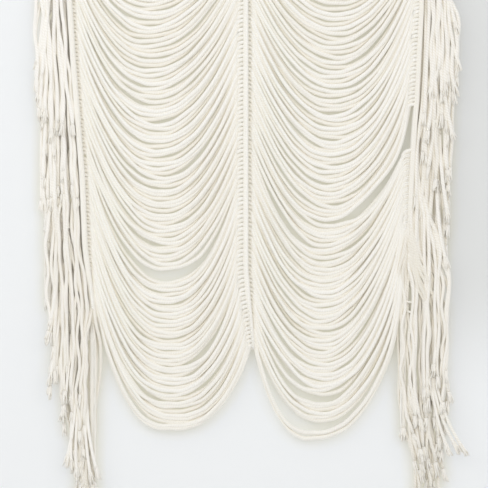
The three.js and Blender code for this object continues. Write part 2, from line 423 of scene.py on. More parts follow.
# %% [markdown]
# Each knot is a double hitch: the cord crosses the front of the carriers, goes round
# behind and crosses the front again lower down. A ridged bar would stand in for a
# whole rib, but its ridges would all be alike. So each hitch is one and a half turns
# of a coil on an ellipse, counted from the left. Where the knots are packed, the coil
# is flatter.

# %% Knots
KNOT_POINTS = 14
WRAP_RADIUS = 0.0023
WRAP_PITCH = 0.0034
PACKED_PITCH = 0.0015
RIB_DEEP = 0.0060
KNOT_FROM, KNOT_BACK, KNOT_TO = 0.1, 0.75, 1.675


def knot_paths(rib, heights):
    """One and a half turns round the rib at each height."""
    pitch = np.clip(knot_pitch(heights) / 2, PACKED_PITCH, WRAP_PITCH)
    turns = np.linspace(KNOT_FROM, KNOT_TO, KNOT_POINTS)[None, :]
    z = heights - (turns - KNOT_BACK) * pitch
    x = rib_x(rib, z) - (half_rib(rib, z) - WRAP_RADIUS) * np.cos(2 * math.pi * turns)
    y = -(RIB_DEEP - WRAP_RADIUS) * np.sin(2 * math.pi * turns) + 0 * z
    return np.stack([x, y, z], axis=-1)


knot_heights = {
    "left": swag_cords["left"]["left"],
    "middle": swag_cords["left"]["right"],
    "right": swag_cords["right"]["right"],
}
all_knot_paths = {rib: knot_paths(rib, heights) for rib, heights in knot_heights.items()}
print("knots", sum(len(paths) for paths in all_knot_paths.values()))

# %% [markdown]
# The tails hang outside the outer ribs. A hair system could grow them, but each tail
# belongs to one knot and has a place of its own, so they are paths like the other
# cords. The tables give, for a few levels of knots, how far out and how far in such
# tails hang, and where they end. Across that strip they lie in eleven columns, five
# deep, and a place is taken again only about when its last tail has ended.

# %% Where the tails hang
TAILS = {
    # knot height, outermost, innermost, end height
    "left": np.array([
        (-0.013, -0.337, -0.302, -0.269), (-0.077, -0.335, -0.298, -0.349),
        (-0.173, -0.324, -0.290, -0.493), (-0.333, -0.318, -0.278, -0.669),
        (-0.413, -0.314, -0.272, -0.757), (-0.493, -0.303, -0.266, -0.837),
        (-0.541, -0.290, -0.259, -0.893), (-0.589, -0.281, -0.250, -0.938),
        (-0.664, -0.268, -0.226, -0.960),
    ]),
    "right": np.array([
        (-0.013, 0.338, 0.292, -0.269), (-0.077, 0.337, 0.291, -0.325),
        (-0.173, 0.330, 0.288, -0.477), (-0.253, 0.324, 0.283, -0.558),
        (-0.338, 0.318, 0.279, -0.620), (-0.413, 0.326, 0.272, -0.733),
        (-0.445, 0.327, 0.264, -0.805), (-0.493, 0.321, 0.247, -0.853),
        (-0.533, 0.311, 0.241, -0.885), (-0.560, 0.302, 0.241, -0.941),
    ]),
}
TAIL_COLUMNS = 11
TAIL_LAYERS = 5
COLUMN_SKIP = 3
STAGGER = np.array([0.25, 0.75])
TAIL_UNEVEN_END = 0.025
TAIL_UNEVEN_SIDE = 0.0012
INNER_LONGER = {"left": 0.09, "right": 0.05}
LONGER_ABOVE, LONGER_FADE = -1.0, 0.15
LOWEST_END = -0.985


def tail_places(side):
    """Each tail's share inwards, its layer in depth, and where it hangs and ends."""
    table = TAILS[side]
    levels = [np.interp(-knot_heights[side], -table[:, 0], table[:, n]) for n in (1, 2, 3)]
    outermost, innermost, end = levels
    place = np.arange(CORDS)[:, None]
    column = place * COLUMN_SKIP % TAIL_COLUMNS
    layer = place // TAIL_COLUMNS % TAIL_LAYERS
    inner = column / (TAIL_COLUMNS - 1)
    end = end - INNER_LONGER[side] * inner * ramp(end - LONGER_ABOVE, LONGER_FADE)
    end = np.maximum(end + rng.normal(0, TAIL_UNEVEN_END, (CORDS, 1)), LOWEST_END)
    hang = outermost + (innermost - outermost) * (column + STAGGER[layer % 2]) / TAIL_COLUMNS
    hang = hang + rng.normal(0, TAIL_UNEVEN_SIDE, (CORDS, 1))
    return inner, layer, hang, end


print("tails in", TAIL_COLUMNS, "columns and", TAIL_LAYERS, "layers")

# %% [markdown]
# A tail leaves the back of its knot sideways, bends over like a shoulder and then hangs
# plumb. The tails from the knots above lie before those from the knots below. Only the
# tails of the lowest knots come over the front of the rib's foot and cover it.

# %% How a tail leaves its knot
FIRST_IN_FRONT = {"left": -0.630, "right": -0.490}
FRONT_OVER = 0.03
ROOT_ACROSS = 0.3
FRONT_ACROSS = 0.3
FRONT_FAN = 1.4
LEAVE_WITHIN = 0.012
BESIDE_RIB = {"left": 0.35, "right": 0.9}
PLUMB = 0.006
SHOULDER = 0.030
SHOULDER_SHARE = 3.4
ROOT_DEEP = 0.0040
BEHIND_RIB = {"left": 0.0030, "right": -0.0035}
LAYER_BEHIND = 0.0012
FRONT_TAIL = -0.0085
FRONT_WITHIN = 0.030
TAIL_DEPTH = 0.0033
FORWARD_AFTER = 0.5
FORWARD_LONG = 0.090


def over_shoulder(side, z, inner, hang, in_front):
    """How far across a tail is at each height, and how long its shoulder is."""
    sign = -1 if side == "left" else 1
    root = knot_heights[side]
    beside = BESIDE_RIB[side] * ramp(root - z, LEAVE_WITHIN) * (1 - in_front)
    across = ROOT_ACROSS + in_front * (FRONT_ACROSS - FRONT_FAN * inner) + beside
    start = rib_x(side, root) + sign * across * HALF_RIB[side]
    shoulder = SHOULDER + SHOULDER_SHARE * np.abs(hang - start)
    moved = ramp(root - z - PLUMB, shoulder)
    x = start + (hang - start) * moved**2 * (3 - 2 * moved)
    rib_leans = rib_x(side, np.maximum(z, FEET[side])) - rib_x(side, root)
    return x + rib_leans * inner**2 * (1 - in_front), shoulder


def tail_depth(side, fallen, layer, in_front, shoulder):
    """From behind the rib, or before its foot, to the tail's own layer."""
    behind = ROOT_DEEP + (BEHIND_RIB[side] + LAYER_BEHIND * layer) * ramp(fallen, LEAVE_WITHIN)
    behind = behind * (1 - in_front) + FRONT_TAIL * in_front * ramp(fallen, FRONT_WITHIN)
    depth = TAIL_DEPTH * (layer - (TAIL_LAYERS - 1) / 2)
    forward = ramp(fallen - FORWARD_AFTER * shoulder, FORWARD_LONG)
    return behind + (depth - behind) * forward


print("layers of tails", TAIL_DEPTH, "m apart")

# %% [markdown]
# Free cords cling in locks and hang in slight waves. Near their ends the tails gather,
# and on the right the lowest ones then lean outwards. Under the foot of the right rib
# the tails stand apart round a narrow slit. All of this only moves points aside by a
# formula, so it is one small function after another.

# %% How a tail hangs
LOCK_WIDTH = 0.017
LOCK_PULL = 0.0019
LOCK_DRIFT, LOCK_DRIFT_LONG = 0.25, 0.43
SWAY, SWAY_LONG = 0.0012, 0.37
GATHER_TO = {"left": -0.258, "right": 0.284}
GATHER_BELOW, GATHER_LONG, GATHER_SHARE = -0.800, 0.100, 0.5
LEAN = {"left": 0, "right": 0.020}
LEAN_BELOW, LEAN_LONG, LEAN_MOST = -0.770, 0.150, 1.4
LEAN_INNER_LESS = 0.7
WAVE = 0.0022
WAVE_LOW = 0.0010
WAVE_TURNS = (6, 16)
WAVE_SIZES = (0.2, 1)
LOW_BELOW, LOW_LONG = -0.50, 0.25
SLIT_MIDDLE = (0.2635, -0.645)
SLIT_HALF_LONG = 0.040
SLIT_REACH = 0.008
SLIT_OPEN = 0.0046


def lowness(z):
    """0 on the upper half of the curtain, and 1 on its lowest quarter."""
    return ramp(LOW_BELOW - z, LOW_LONG)


def in_locks(x, z, settled):
    """Drawn towards the middle of its lock, and swayed with the whole fringe."""
    drift = LOCK_DRIFT * np.sin(2 * math.pi * z / LOCK_DRIFT_LONG)
    x = x - LOCK_PULL * np.sin(2 * math.pi * (x / LOCK_WIDTH + drift)) * settled
    return x + settled * SWAY * np.sin(2 * math.pi * z / SWAY_LONG)


def gathered(side, x, z, inner):
    """Gathered towards one place near the ends, and leaning out on the right."""
    x = x + (GATHER_TO[side] - x) * (GATHER_SHARE * ramp(GATHER_BELOW - z, GATHER_LONG))
    leant = np.clip((LEAN_BELOW - z) / LEAN_LONG, 0, LEAN_MOST)
    return x + LEAN[side] * (1 - LEAN_INNER_LESS * inner) * leant


def waves(z, high):
    """A wave of its own for each tail, across and in depth."""
    phase = rng.uniform(0, 2 * math.pi, (CORDS, 2, 1))
    turns = rng.uniform(*WAVE_TURNS, (CORDS, 2, 1))
    size = rng.uniform(*WAVE_SIZES, (CORDS, 2, 1))
    wave = high[:, None] * size * np.sin(phase + 2 * math.pi * turns * z[:, None])
    return wave[:, 0], wave[:, 1]


def slit_push(x, z, hang):
    """How far the tails stand aside from the slit under the right rib's foot."""
    way = np.sign(hang - SLIT_MIDDLE[0])
    aside = np.clip(SLIT_OPEN - (x - SLIT_MIDDLE[0]) * way, 0, SLIT_OPEN + SLIT_REACH)
    up = (z - SLIT_MIDDLE[1]) / SLIT_HALF_LONG
    return way * aside * np.clip(1 - up**2, 0, 1)


print("slit", 2 * SLIT_HALF_LONG, "m long")

# %% [markdown]
# The steps are now put together, each tail from inside its knot to its free end. A few
# tails stand out of the fringes by themselves. No formula gives those, so each is a
# Bezier curve that bends towards two given places and ends at a third.

# %% Tails from knot to end
TAIL_POINTS = 40
TAIL_POINTS_CLOSER = 1.6
SETTLED_AFTER = 0.15


def tail_paths(side):
    """Every tail, from inside its knot to its free end."""
    inner, layer, hang, end = tail_places(side)
    root = knot_heights[side]
    t = np.linspace(0, 1, TAIL_POINTS)[None, :] ** TAIL_POINTS_CLOSER
    z = root + (end - root) * t
    in_front = ramp(FIRST_IN_FRONT[side] - root, FRONT_OVER)
    x, shoulder = over_shoulder(side, z, inner, hang, in_front)
    y = tail_depth(side, root - z, layer, in_front, shoulder)
    settled = ramp(root - z, SETTLED_AFTER)
    x = gathered(side, in_locks(x, z, settled), z, inner)
    wave_across, wave_deep = waves(z, settled * (WAVE + WAVE_LOW * lowness(z)))
    x = x + wave_across
    if side == "right":
        x = x + slit_push(x, z, hang)
    return np.stack([x, y + wave_deep, z], axis=-1)


# %% Tails that stand out
LOOSE_TAILS = {
    # across and up of the two places and the end
    "left": np.array([
        (-0.318, -0.166, -0.324, -0.221, -0.332, -0.266),
        (-0.314, -0.189, -0.319, -0.243, -0.326, -0.288),
        (-0.300, -0.614, -0.305, -0.653, -0.311, -0.685),
        (-0.297, -0.701, -0.306, -0.741, -0.311, -0.771),
        (-0.281, -0.768, -0.287, -0.805, -0.292, -0.832),
        (-0.271, -0.842, -0.279, -0.877, -0.284, -0.902),
        (-0.276, -0.848, -0.281, -0.884, -0.278, -0.911),
        (-0.268, -0.852, -0.274, -0.890, -0.270, -0.924),
        (-0.254, -0.853, -0.247, -0.890, -0.239, -0.922),
        (-0.258, -0.860, -0.253, -0.900, -0.248, -0.930),
    ]),
    "right": np.array([
        (0.322, -0.160, 0.329, -0.186, 0.335, -0.211),
        (0.322, -0.202, 0.330, -0.243, 0.338, -0.269),
        (0.319, -0.250, 0.326, -0.285, 0.334, -0.312),
        (0.314, -0.314, 0.322, -0.352, 0.329, -0.381),
        (0.311, -0.448, 0.318, -0.486, 0.322, -0.509),
        (0.306, -0.525, 0.313, -0.562, 0.319, -0.586),
        (0.295, -0.806, 0.308, -0.851, 0.321, -0.886),
        (0.297, -0.800, 0.314, -0.850, 0.334, -0.883),
        (0.300, -0.794, 0.319, -0.845, 0.345, -0.886),
    ]),
}
LOOSE_ABOVE = 0.060
LOOSE_ROOT = 0.004
LOOSE_FORWARD = -0.0110
LOOSE_FORWARD_BY = 0.4


def loose_tail_paths(side):
    """The tails that stand out of the fringe."""
    first, second, end = np.split(LOOSE_TAILS[side][:, None], 3, axis=2)
    start = first + np.array([0, LOOSE_ABOVE])
    t = np.linspace(0, 1, TAIL_POINTS)[None, :, None]
    back = 1 - t
    across_up = back**3 * start + 3 * back**2 * t * first + 3 * back * t**2 * second + t**3 * end
    x, z = across_up[..., 0], across_up[..., 1]
    y = LOOSE_ROOT + LOOSE_FORWARD * ramp(t[..., 0], LOOSE_FORWARD_BY) + 0 * x
    return np.stack([x, y, z], axis=-1)


all_tail_paths = {}
for side in TAILS:
    all_tail_paths[side] = np.concatenate([tail_paths(side), loose_tail_paths(side)])
print("cord in the tails", length_of(all_tail_paths), "m")

# %% [markdown]
# A curve object with a bevel could turn the paths into cord. A mesh made in one go is
# quicker for hundreds of them, and can carry what the cotton needs: a UV map that runs
# once round the cord and along it in metres, so that a twist can follow it, and a tone
# for each tube. The tone holds the cotton's own colour, because no two lengths of cotton
# are quite the same colour, and painted light and shade for cords that lie at the back,
# deep, low or on one side. The tone is 0 for the palest and up to 1.7 for the most shaded.

# %% Directions beside a path
ACROSS, DEEP = (1.0, 0.0, 0.0), (0.0, 1.0, 0.0)
TOO_SHORT = 1e-12
NEARLY_ALONG = 0.2


def unit(vectors):
    """Vectors of length one."""
    return vectors / np.maximum(np.linalg.norm(vectors, axis=-1, keepdims=True), TOO_SHORT)


def side_directions(paths):
    """Two directions square to each path, carried along it without twisting."""
    along = unit(np.gradient(paths, axis=1))
    first = np.empty_like(paths)
    start = np.cross(along[:, 0], DEEP)
    lost = np.linalg.norm(start, axis=1) < NEARLY_ALONG
    start[lost] = np.cross(along[lost, 0], ACROSS)
    first[:, 0] = unit(start)
    for step in range(1, paths.shape[1]):
        ahead = along[:, step]
        before = first[:, step - 1]
        first[:, step] = unit(before - (before * ahead).sum(1, keepdims=True) * ahead)
    return first, np.cross(along, first)


# %% Tubes as one mesh


def tube_uv(paths, sides):
    """Once round each tube, and along it in metres from a start of its own."""
    count, steps, _ = paths.shape
    steps_long = np.linalg.norm(np.diff(paths, axis=1), axis=2)
    run = np.concatenate([np.zeros((count, 1)), np.cumsum(steps_long, axis=1)], axis=1)
    run = run + rng.uniform(0, 1, (count, 1))
    round_it = np.arange(sides + 1) / sides
    quad_uv = np.empty((count, steps - 1, sides, 4, 2))
    quad_uv[..., 0, 0] = quad_uv[..., 3, 0] = round_it[:-1]
    quad_uv[..., 1, 0] = quad_uv[..., 2, 0] = round_it[1:]
    quad_uv[..., 0, 1] = quad_uv[..., 1, 1] = run[:, :-1, None]
    quad_uv[..., 2, 1] = quad_uv[..., 3, 1] = run[:, 1:, None]
    cap_uv = np.zeros((2 * count, sides, 2))
    return np.concatenate([quad_uv.reshape(-1, 2), cap_uv.reshape(-1, 2)])


def tube_mesh(name, paths, radii, sides, tones_and_shade):
    """One mesh of closed tubes along the paths."""
    count, steps, _ = paths.shape
    radii = np.broadcast_to(radii, (count, steps))
    first, second = side_directions(paths)
    angle = np.linspace(0, 2 * math.pi, sides, endpoint=False)[None, None, :, None]
    ring = np.cos(angle) * first[:, :, None, :] + np.sin(angle) * second[:, :, None, :]
    points = paths[:, :, None, :] + radii[:, :, None, None] * ring
    number = np.arange(count * steps * sides).reshape(count, steps, sides)
    after = np.roll(number, -1, axis=2)
    quads = np.stack([number[:, :-1], after[:, :-1], after[:, 1:], number[:, 1:]], axis=-1)
    caps = np.concatenate([number[:, 0, ::-1], number[:, -1]])
    mesh = bpy.data.meshes.new(name)
    mesh.from_pydata(points.reshape(-1, 3).tolist(), [], quads.reshape(-1, 4).tolist() + caps.tolist())
    uv_map = mesh.uv_layers.new(name="along_cord")
    uv_map.data.foreach_set("uv", tube_uv(paths, sides).astype(np.float32).ravel())
    tone = mesh.attributes.new("tone", "FLOAT", "POINT")
    tone.data.foreach_set("value", np.repeat(tones_and_shade, steps * sides).astype(np.float32))
    mesh.polygons.foreach_set("use_smooth", np.ones(len(mesh.polygons), dtype=bool))
    mesh.update()
    return mesh


# %% [markdown]
# The swags and the knots are swept first. A knot's wraps get fewer sides than the
# hanging cords, because there are more of them and each is smaller. Their ends are
# drawn in, so that nothing blunt shows. The rear layer of the swags gets the darkest
# tone, as painted shade.

# %% Swags and knots
CORD_SIDES = 8
WRAP_SIDES = 5
CORD_TONE = 0.8
REAR_SHADE = 0.9
DRAWN_IN = 0.6


def let_ride(piece, node):
    """Lets a finished piece ride on the curtain's one body, in place of a CAD node."""
    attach(piece, "root")
    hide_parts(node)
    print(piece.name, len(piece.data.polygons), "faces")


def swept_piece(name, node, paths, radii, sides, tones_and_shade):
    """A piece of tubes, with its object at the origin."""
    piece = bpy.data.objects.new(name, tube_mesh(name, paths, radii, sides, tones_and_shade))
    bpy.context.scene.collection.objects.link(piece)
    let_ride(piece, node)


def rounded_ends(paths, radius):
    """A radius for each point, smaller at both ends so that the ends look rounded."""
    radii = np.full(paths.shape[:2], radius)
    radii[:, 0] *= DRAWN_IN
    radii[:, -1] *= DRAWN_IN
    return radii


cord_tones = rng.uniform(0, 1, (CORDS, 1))
for side, paths in all_swag_paths.items():
    # The rear layer gets painted shade on top of each cord's own tone.
    tones_and_shade = CORD_TONE * cord_tones + REAR_SHADE * (swag_cords[side]["layer"] == 1)
    swept_piece(side + "_swag", "knotted_swags", paths, all_swag_radii[side], CORD_SIDES, tones_and_shade)
for rib, paths in all_knot_paths.items():
    radii = rounded_ends(paths, WRAP_RADIUS)
    swept_piece(rib + "_knots", "knotted_swags", paths, radii, WRAP_SIDES, cord_tones)

# %% [markdown]
# Four carrier cords run down each rib. Two lie inside the wraps, and two lie in front
# of them as a smooth pale band, which sinks back between the last cords at the foot.
# All four show where a rib has no knots, as beside the large gap of the right swag, so
# they are whole cords and not just a filling.

# %% Carriers
CARRIER_RADIUS = 0.0028
CARRIER_SIDES = 10
CARRIER_TOP = -0.004
CARRIER_STEP = 0.010
CARRIER_ENDS = {"left": -0.945, "middle": -0.732, "right": -0.860}
CARRIER_PLACES = (
    # across and deep
    (-0.0014, -0.0052), (0.0014, -0.0052), (-0.0021, 0.0015), (0.0021, 0.0015),
)


def carrier_paths(rib, end):
    """Four upright cords, which hang on below the foot of their rib."""
    z = np.linspace(CARRIER_TOP, end, int(-end / CARRIER_STEP))
    cords = []
    for across, deep in CARRIER_PLACES:
        cords.append(np.stack([rib_x(rib, z) + across, deep * above_foot(rib, z), z], axis=-1))
    return np.stack(cords)


all_carrier_paths = {rib: carrier_paths(rib, end) for rib, end in CARRIER_ENDS.items()}
for rib, paths in all_carrier_paths.items():
    tones_and_shade = rng.uniform(0, 1, len(paths))
    radii = rounded_ends(paths, CARRIER_RADIUS)
    swept_piece(rib + "_carrier", "knotted_swags", paths, radii, CARRIER_SIDES, tones_and_shade)

# %% [markdown]
# The tails are swept like the swags, a little thinner low down, and with a slight
# swelling towards the cut end, where the twist opens. On the real curtain the left
# fringe gets darker further down, and on the right dark tails lie between pale ones.
# The tones paint this in as shade, mostly by height on the left and by depth on the
# right. The left fringe is also toned paler and the right one darker, as painted light
# and shade. Tails that stand out get no shade for height or depth.

# %% Thickness and tones of the tails
TAIL_SIDES = 7
TAIL_RADIUS = 0.0031
THINNER_LOW = 0.0005
SWELL, SWELL_FROM = 0.18, 0.85
TAIL_DRAWN_IN = 0.75
# Painted light and shade: the left fringe paler, the right darker, more shade deep and low.
SIDE_LIGHT_AND_SHADE = {"left": -0.2, "right": 0.2}
TONE_UNEVEN = 0.3
DEEP_SHADE = {"left": 0.2, "right": 0.9}
LOW_SHADE = {"left": 1.0, "right": 0.2}


def tail_radii(paths):
    """The cord's radius at each point, a little larger near the end."""
    t = np.linspace(0, 1, paths.shape[1])[None, :]
    swollen = 1 + SWELL * ramp(t - SWELL_FROM, 1 - SWELL_FROM)
    radii = (TAIL_RADIUS - THINNER_LOW * lowness(paths[..., 2])) * swollen
    radii[:, -1] *= TAIL_DRAWN_IN
    return radii


def tail_tones_and_shade(side, count):
    """Painted light and shade by side, and painted shade low and deep, not on tails that stand out."""
    tones_and_shade = SIDE_LIGHT_AND_SHADE[side] + TONE_UNEVEN * rng.uniform(0, 1, count)
    place = np.arange(CORDS)
    deep = place // TAIL_COLUMNS % TAIL_LAYERS / (TAIL_LAYERS - 1)
    tones_and_shade[:CORDS] += DEEP_SHADE[side] * deep
    tones_and_shade[:CORDS] += LOW_SHADE[side] * place / CORDS
    return np.maximum(tones_and_shade, 0)


print("tails", round(2000 * TAIL_RADIUS, 1), "mm thick")

# %% [markdown]
# Each cut end is a brush of loose yarns. The real ones are finer than a millimetre and
# far too many to build, so sixteen thicker tubes with four sides stand for them. They
# start inside the cord, spread and curl a little. A hair system could do it, but only
# a mesh is exported. The carriers of the outer ribs are frayed in the same way.

# %% Tails and frayed ends
YARNS = 16
YARN_POINTS = 5
YARN_SIDES = 4
YARN_LONG = 0.020
YARN_UNEVEN = (0.55, 1.15)
YARN_CENTRE = 0.02
YARN_STARTS = 0.8
YARN_INSIDE = 0.003
YARN_SPREAD, YARN_FLARE = 0.0024, 1.5
YARN_CURL, CURL_TURN, CURL_START = 0.0012, 2.5, 6
YARN_RADIUS, YARN_TIP = 0.0017, 0.45
YARN_TONES = (0, 0.4)


def fray_paths(cords):
    """The loose yarns at the end of every cord."""
    ahead = unit(cords[:, -1] - cords[:, -3])
    first = unit(np.cross(ahead, DEEP))
    second = np.cross(ahead, first)
    angle = rng.uniform(0, 2 * math.pi, (len(cords), YARNS, 1))
    reach = np.sqrt(rng.uniform(YARN_CENTRE, 1, (len(cords), YARNS, 1)))
    long = YARN_LONG * rng.uniform(*YARN_UNEVEN, (len(cords), YARNS, 1))
    t = np.linspace(0, 1, YARN_POINTS)
    out = (TAIL_RADIUS * YARN_STARTS + YARN_SPREAD * t**YARN_FLARE) * reach
    curl = YARN_CURL * np.sin(CURL_TURN * t + CURL_START * angle) * t
    points = cords[:, None, None, -1]
    for direction, distance in (
        (first, np.cos(angle) * out + curl),
        (second, np.sin(angle) * out - curl),
        (ahead, long * t - YARN_INSIDE),
    ):
        points = points + distance[..., None] * direction[:, None, None, :]
    return points.reshape(-1, YARN_POINTS, 3)


yarn_radii = YARN_RADIUS * np.linspace(1, YARN_TIP, YARN_POINTS)[None, :]
for side, tails in all_tail_paths.items():
    tones_and_shade = tail_tones_and_shade(side, len(tails))
    swept_piece(side + "_tails", side + "_fringe", tails, tail_radii(tails), TAIL_SIDES, tones_and_shade)
    yarns = np.concatenate([fray_paths(tails), fray_paths(all_carrier_paths[side])])
    tones_and_shade = rng.uniform(*YARN_TONES, len(yarns))
    swept_piece(side + "_frayed_ends", side + "_fringe", yarns, yarn_radii, YARN_SIDES, tones_and_shade)

# %% [markdown]
# Two short ties cross the slit under the foot of the right rib. They are only a few
# millimetres high, and how they are knotted doesn't show. So each is a short cord that
# sags a little in the middle and dips back into the tails at both ends.

# %% Ties
TIES = np.array([(0.2635, -0.6540), (0.2640, -0.6700)])
TIE_POINTS = 9
TIE_SIDES = 8
TIE_RADIUS = 0.0018
TIE_HALF = 0.0060
TIE_SAG = 0.0020
TIE_FRONT, TIE_DIP, TIE_DIP_FROM = -0.0060, 0.004, 4
TIE_TONE = 1.2

t = np.linspace(-1, 1, TIE_POINTS)[None, :]
tie_x = TIES[:, :1] + TIE_HALF * t
tie_y = TIE_FRONT + TIE_DIP * t**TIE_DIP_FROM + 0 * tie_x
tie_z = TIES[:, 1:] + TIE_SAG * (t**2 - 1)
ties = np.stack([tie_x, tie_y, tie_z], axis=-1)
tones_and_shade = np.full(len(ties), TIE_TONE)
swept_piece("ties", "right_fringe", ties, rounded_ends(ties, TIE_RADIUS), TIE_SIDES, tones_and_shade)

# %% [markdown]
# The heading is a row of wraps over a holding cord. The wraps could be swept too, but
# they are all alike, so one is modelled as by hand: a torus, turned on its side and
# flattened, which an array repeats along the bar. The holding cord is a cylinder that
# ends inside the first and the last wrap.

# %% Heading
HEADING_LEFT, HEADING_RIGHT = -0.310, 0.301
HEADING_HIGH = 0.013
HEADING_DEEP = 0.017
HEADING_WRAP = 0.0019
HEADING_PITCH = 0.00362
HOLDING_SHORTER = 0.004
wrap_high = HEADING_HIGH / 2 - HEADING_WRAP
wrap_deep = HEADING_DEEP / 2 - HEADING_WRAP


def finish_by_hand(piece, name):
    """Applies a modelled piece's place, names it and lets it ride."""
    bpy.ops.object.transform_apply(location=True, rotation=True, scale=True)
    bpy.ops.object.shade_smooth()
    piece.name = name
    piece.data.name = name
    let_ride(piece, "knotted_swags")


deselect_all()
bpy.ops.mesh.primitive_torus_add(
    major_segments=18, minor_segments=8, major_radius=wrap_high, minor_radius=HEADING_WRAP,
    location=(HEADING_LEFT + HEADING_WRAP, 0, -HEADING_HIGH / 2), rotation=(0, math.pi / 2, 0),
)
wraps = bpy.context.object
bpy.ops.object.transform_apply(location=False, rotation=True, scale=False)
wraps.scale = (1, wrap_deep / wrap_high, 1)
repeat = wraps.modifiers.new("along the bar", "ARRAY")
repeat.use_relative_offset = False
repeat.use_constant_offset = True
repeat.constant_offset_displace = (HEADING_PITCH, 0, 0)
repeat.count = int((HEADING_RIGHT - HEADING_LEFT - 2 * HEADING_WRAP) / HEADING_PITCH) + 1
bpy.ops.object.modifier_apply(modifier=repeat.name)
finish_by_hand(wraps, "heading_wraps")

deselect_all()
bpy.ops.mesh.primitive_cylinder_add(
    vertices=20, radius=1, depth=HEADING_RIGHT - HEADING_LEFT - HOLDING_SHORTER,
    location=((HEADING_LEFT + HEADING_RIGHT) / 2, 0, -HEADING_HIGH / 2),
    rotation=(0, math.pi / 2, 0),
)
holding_cord = bpy.context.object
holding_cord.scale = (wrap_high, wrap_deep, 1)
bpy.ops.object.transform_apply(location=False, rotation=False, scale=True)
finish_by_hand(holding_cord, "holding_cord")

# %% [markdown]
# Cotton cord is matt and faintly warm. Its twist could be modelled, but three yarns
# wound round each of hundreds of cords would be millions of faces. So the twist is a
# slanted wave in the UV map, with a fine grain along it for the fibres. Both go into
# one node group that every cotton material uses, with a twist length of its own. The
# group also darkens the valleys of the twist as painted shade.

# %% Helpers for nodes


def feed(tree, value, socket):
    """Sets a number or colour on a socket, or links another socket to it."""
    if isinstance(value, bpy.types.NodeSocket):
        tree.links.new(value, socket)
    else:
        socket.default_value = value


def math_node(tree, operation, first, second=None):
    """A Math node on sockets or numbers."""
    node = tree.nodes.new("ShaderNodeMath")
    node.operation = operation
    feed(tree, first, node.inputs[0])
    if second is not None:
        feed(tree, second, node.inputs[1])
    return node.outputs[0]


def new_group(name, inputs, outputs):
    """A shader node group with named sockets, and its nodes for what goes in and out."""
    group = bpy.data.node_groups.new(name, "ShaderNodeTree")
    for way, sockets in (("INPUT", inputs), ("OUTPUT", outputs)):
        for socket, kind in sockets.items():
            group.interface.new_socket(socket, in_out=way, socket_type="NodeSocket" + kind)
    return group, group.nodes.new("NodeGroupInput").outputs, group.nodes.new("NodeGroupOutput").inputs


def place_group(tree, group):
    """A node group in a material."""
    node = tree.nodes.new("ShaderNodeGroup")
    node.node_tree = group
    return node


# %% The twist of a cord as a node group
YARNS_IN_CORD = 3.0
FIBRE_ROUND, FIBRE_ALONG = 4.0, 90.0
FIBRE_SCALE, FIBRE_DETAIL = 1.6, 3.0
TWIST_HEIGHT, FIBRE_HEIGHT = 0.7, 0.45
TONE_TINT, VALLEY_SHADE = 0.5, 0.6


def twist_group():
    """Height of a twisted cotton cord from its UV map, and a tint from its tone and painted shade."""
    group, given, wanted = new_group(
        "twisted cotton", {"Twist length": "Float"}, {"Height": "Float", "Tint": "Float"}
    )
    uv = group.nodes.new("ShaderNodeUVMap")
    uv.uv_map = "along_cord"
    split = group.nodes.new("ShaderNodeSeparateXYZ")
    feed(group, uv.outputs[0], split.inputs[0])
    round_it, along = split.outputs[0], split.outputs[1]
    turns_along = math_node(group, "DIVIDE", along, given["Twist length"])
    slanted = math_node(group, "ADD", round_it, turns_along)
    phase = math_node(group, "MULTIPLY", slanted, YARNS_IN_CORD)
    sine = math_node(group, "SINE", math_node(group, "MULTIPLY", phase, math.pi))
    wave = math_node(group, "ABSOLUTE", sine)

    lay = group.nodes.new("ShaderNodeCombineXYZ")
    feed(group, math_node(group, "MULTIPLY", phase, FIBRE_ROUND), lay.inputs[0])
    feed(group, math_node(group, "MULTIPLY", along, FIBRE_ALONG), lay.inputs[1])
    fibre = group.nodes.new("ShaderNodeTexNoise")
    fibre.inputs["Scale"].default_value = FIBRE_SCALE
    fibre.inputs["Detail"].default_value = FIBRE_DETAIL
    feed(group, lay.outputs[0], fibre.inputs["Vector"])
    yarns_high = math_node(group, "MULTIPLY", wave, TWIST_HEIGHT)
    fibres_high = math_node(group, "MULTIPLY", fibre.outputs[0], FIBRE_HEIGHT)
    feed(group, math_node(group, "ADD", yarns_high, fibres_high), wanted["Height"])

    tone = group.nodes.new("ShaderNodeAttribute")
    tone.attribute_name = "tone"
    toned_and_shaded = math_node(group, "MULTIPLY", tone.outputs["Fac"], TONE_TINT)
    # Painted shade in the valleys of the twist, added to the tone's painted shade.
    valley_shade = math_node(group, "MULTIPLY", math_node(group, "SUBTRACT", 1.0, wave), VALLEY_SHADE)
    feed(group, math_node(group, "ADD", toned_and_shaded, valley_shade), wanted["Tint"])
    return group


twisted_cotton = twist_group()
print(twisted_cotton.name, len(twisted_cotton.nodes), "nodes")

# %% [markdown]
# Light scatters between the cords, so the gaps glow brown and the lit cords look nearly
# white. Real scattering inside the cotton would take long to render. A second group
# does it by colour: where cords lie close, found by Ambient Occlusion, it multiplies
# the colour by a warm tint. The wall behind the curtain uses it too.

# %% Warmth where cords lie close, as a node group
COVER_SAMPLES = 4
MIX_FIRST, MIX_SECOND, MIX_RESULT = 6, 7, 2


def colour_mix(tree, first, second, share, blend="MIX"):
    """A mix of two colours, each a fixed one or a socket."""
    node = tree.nodes.new("ShaderNodeMix")
    node.data_type = "RGBA"
    node.blend_type = blend
    feed(tree, share, node.inputs[0])
    feed(tree, first, node.inputs[MIX_FIRST])
    feed(tree, second, node.inputs[MIX_SECOND])
    return node.outputs[MIX_RESULT]


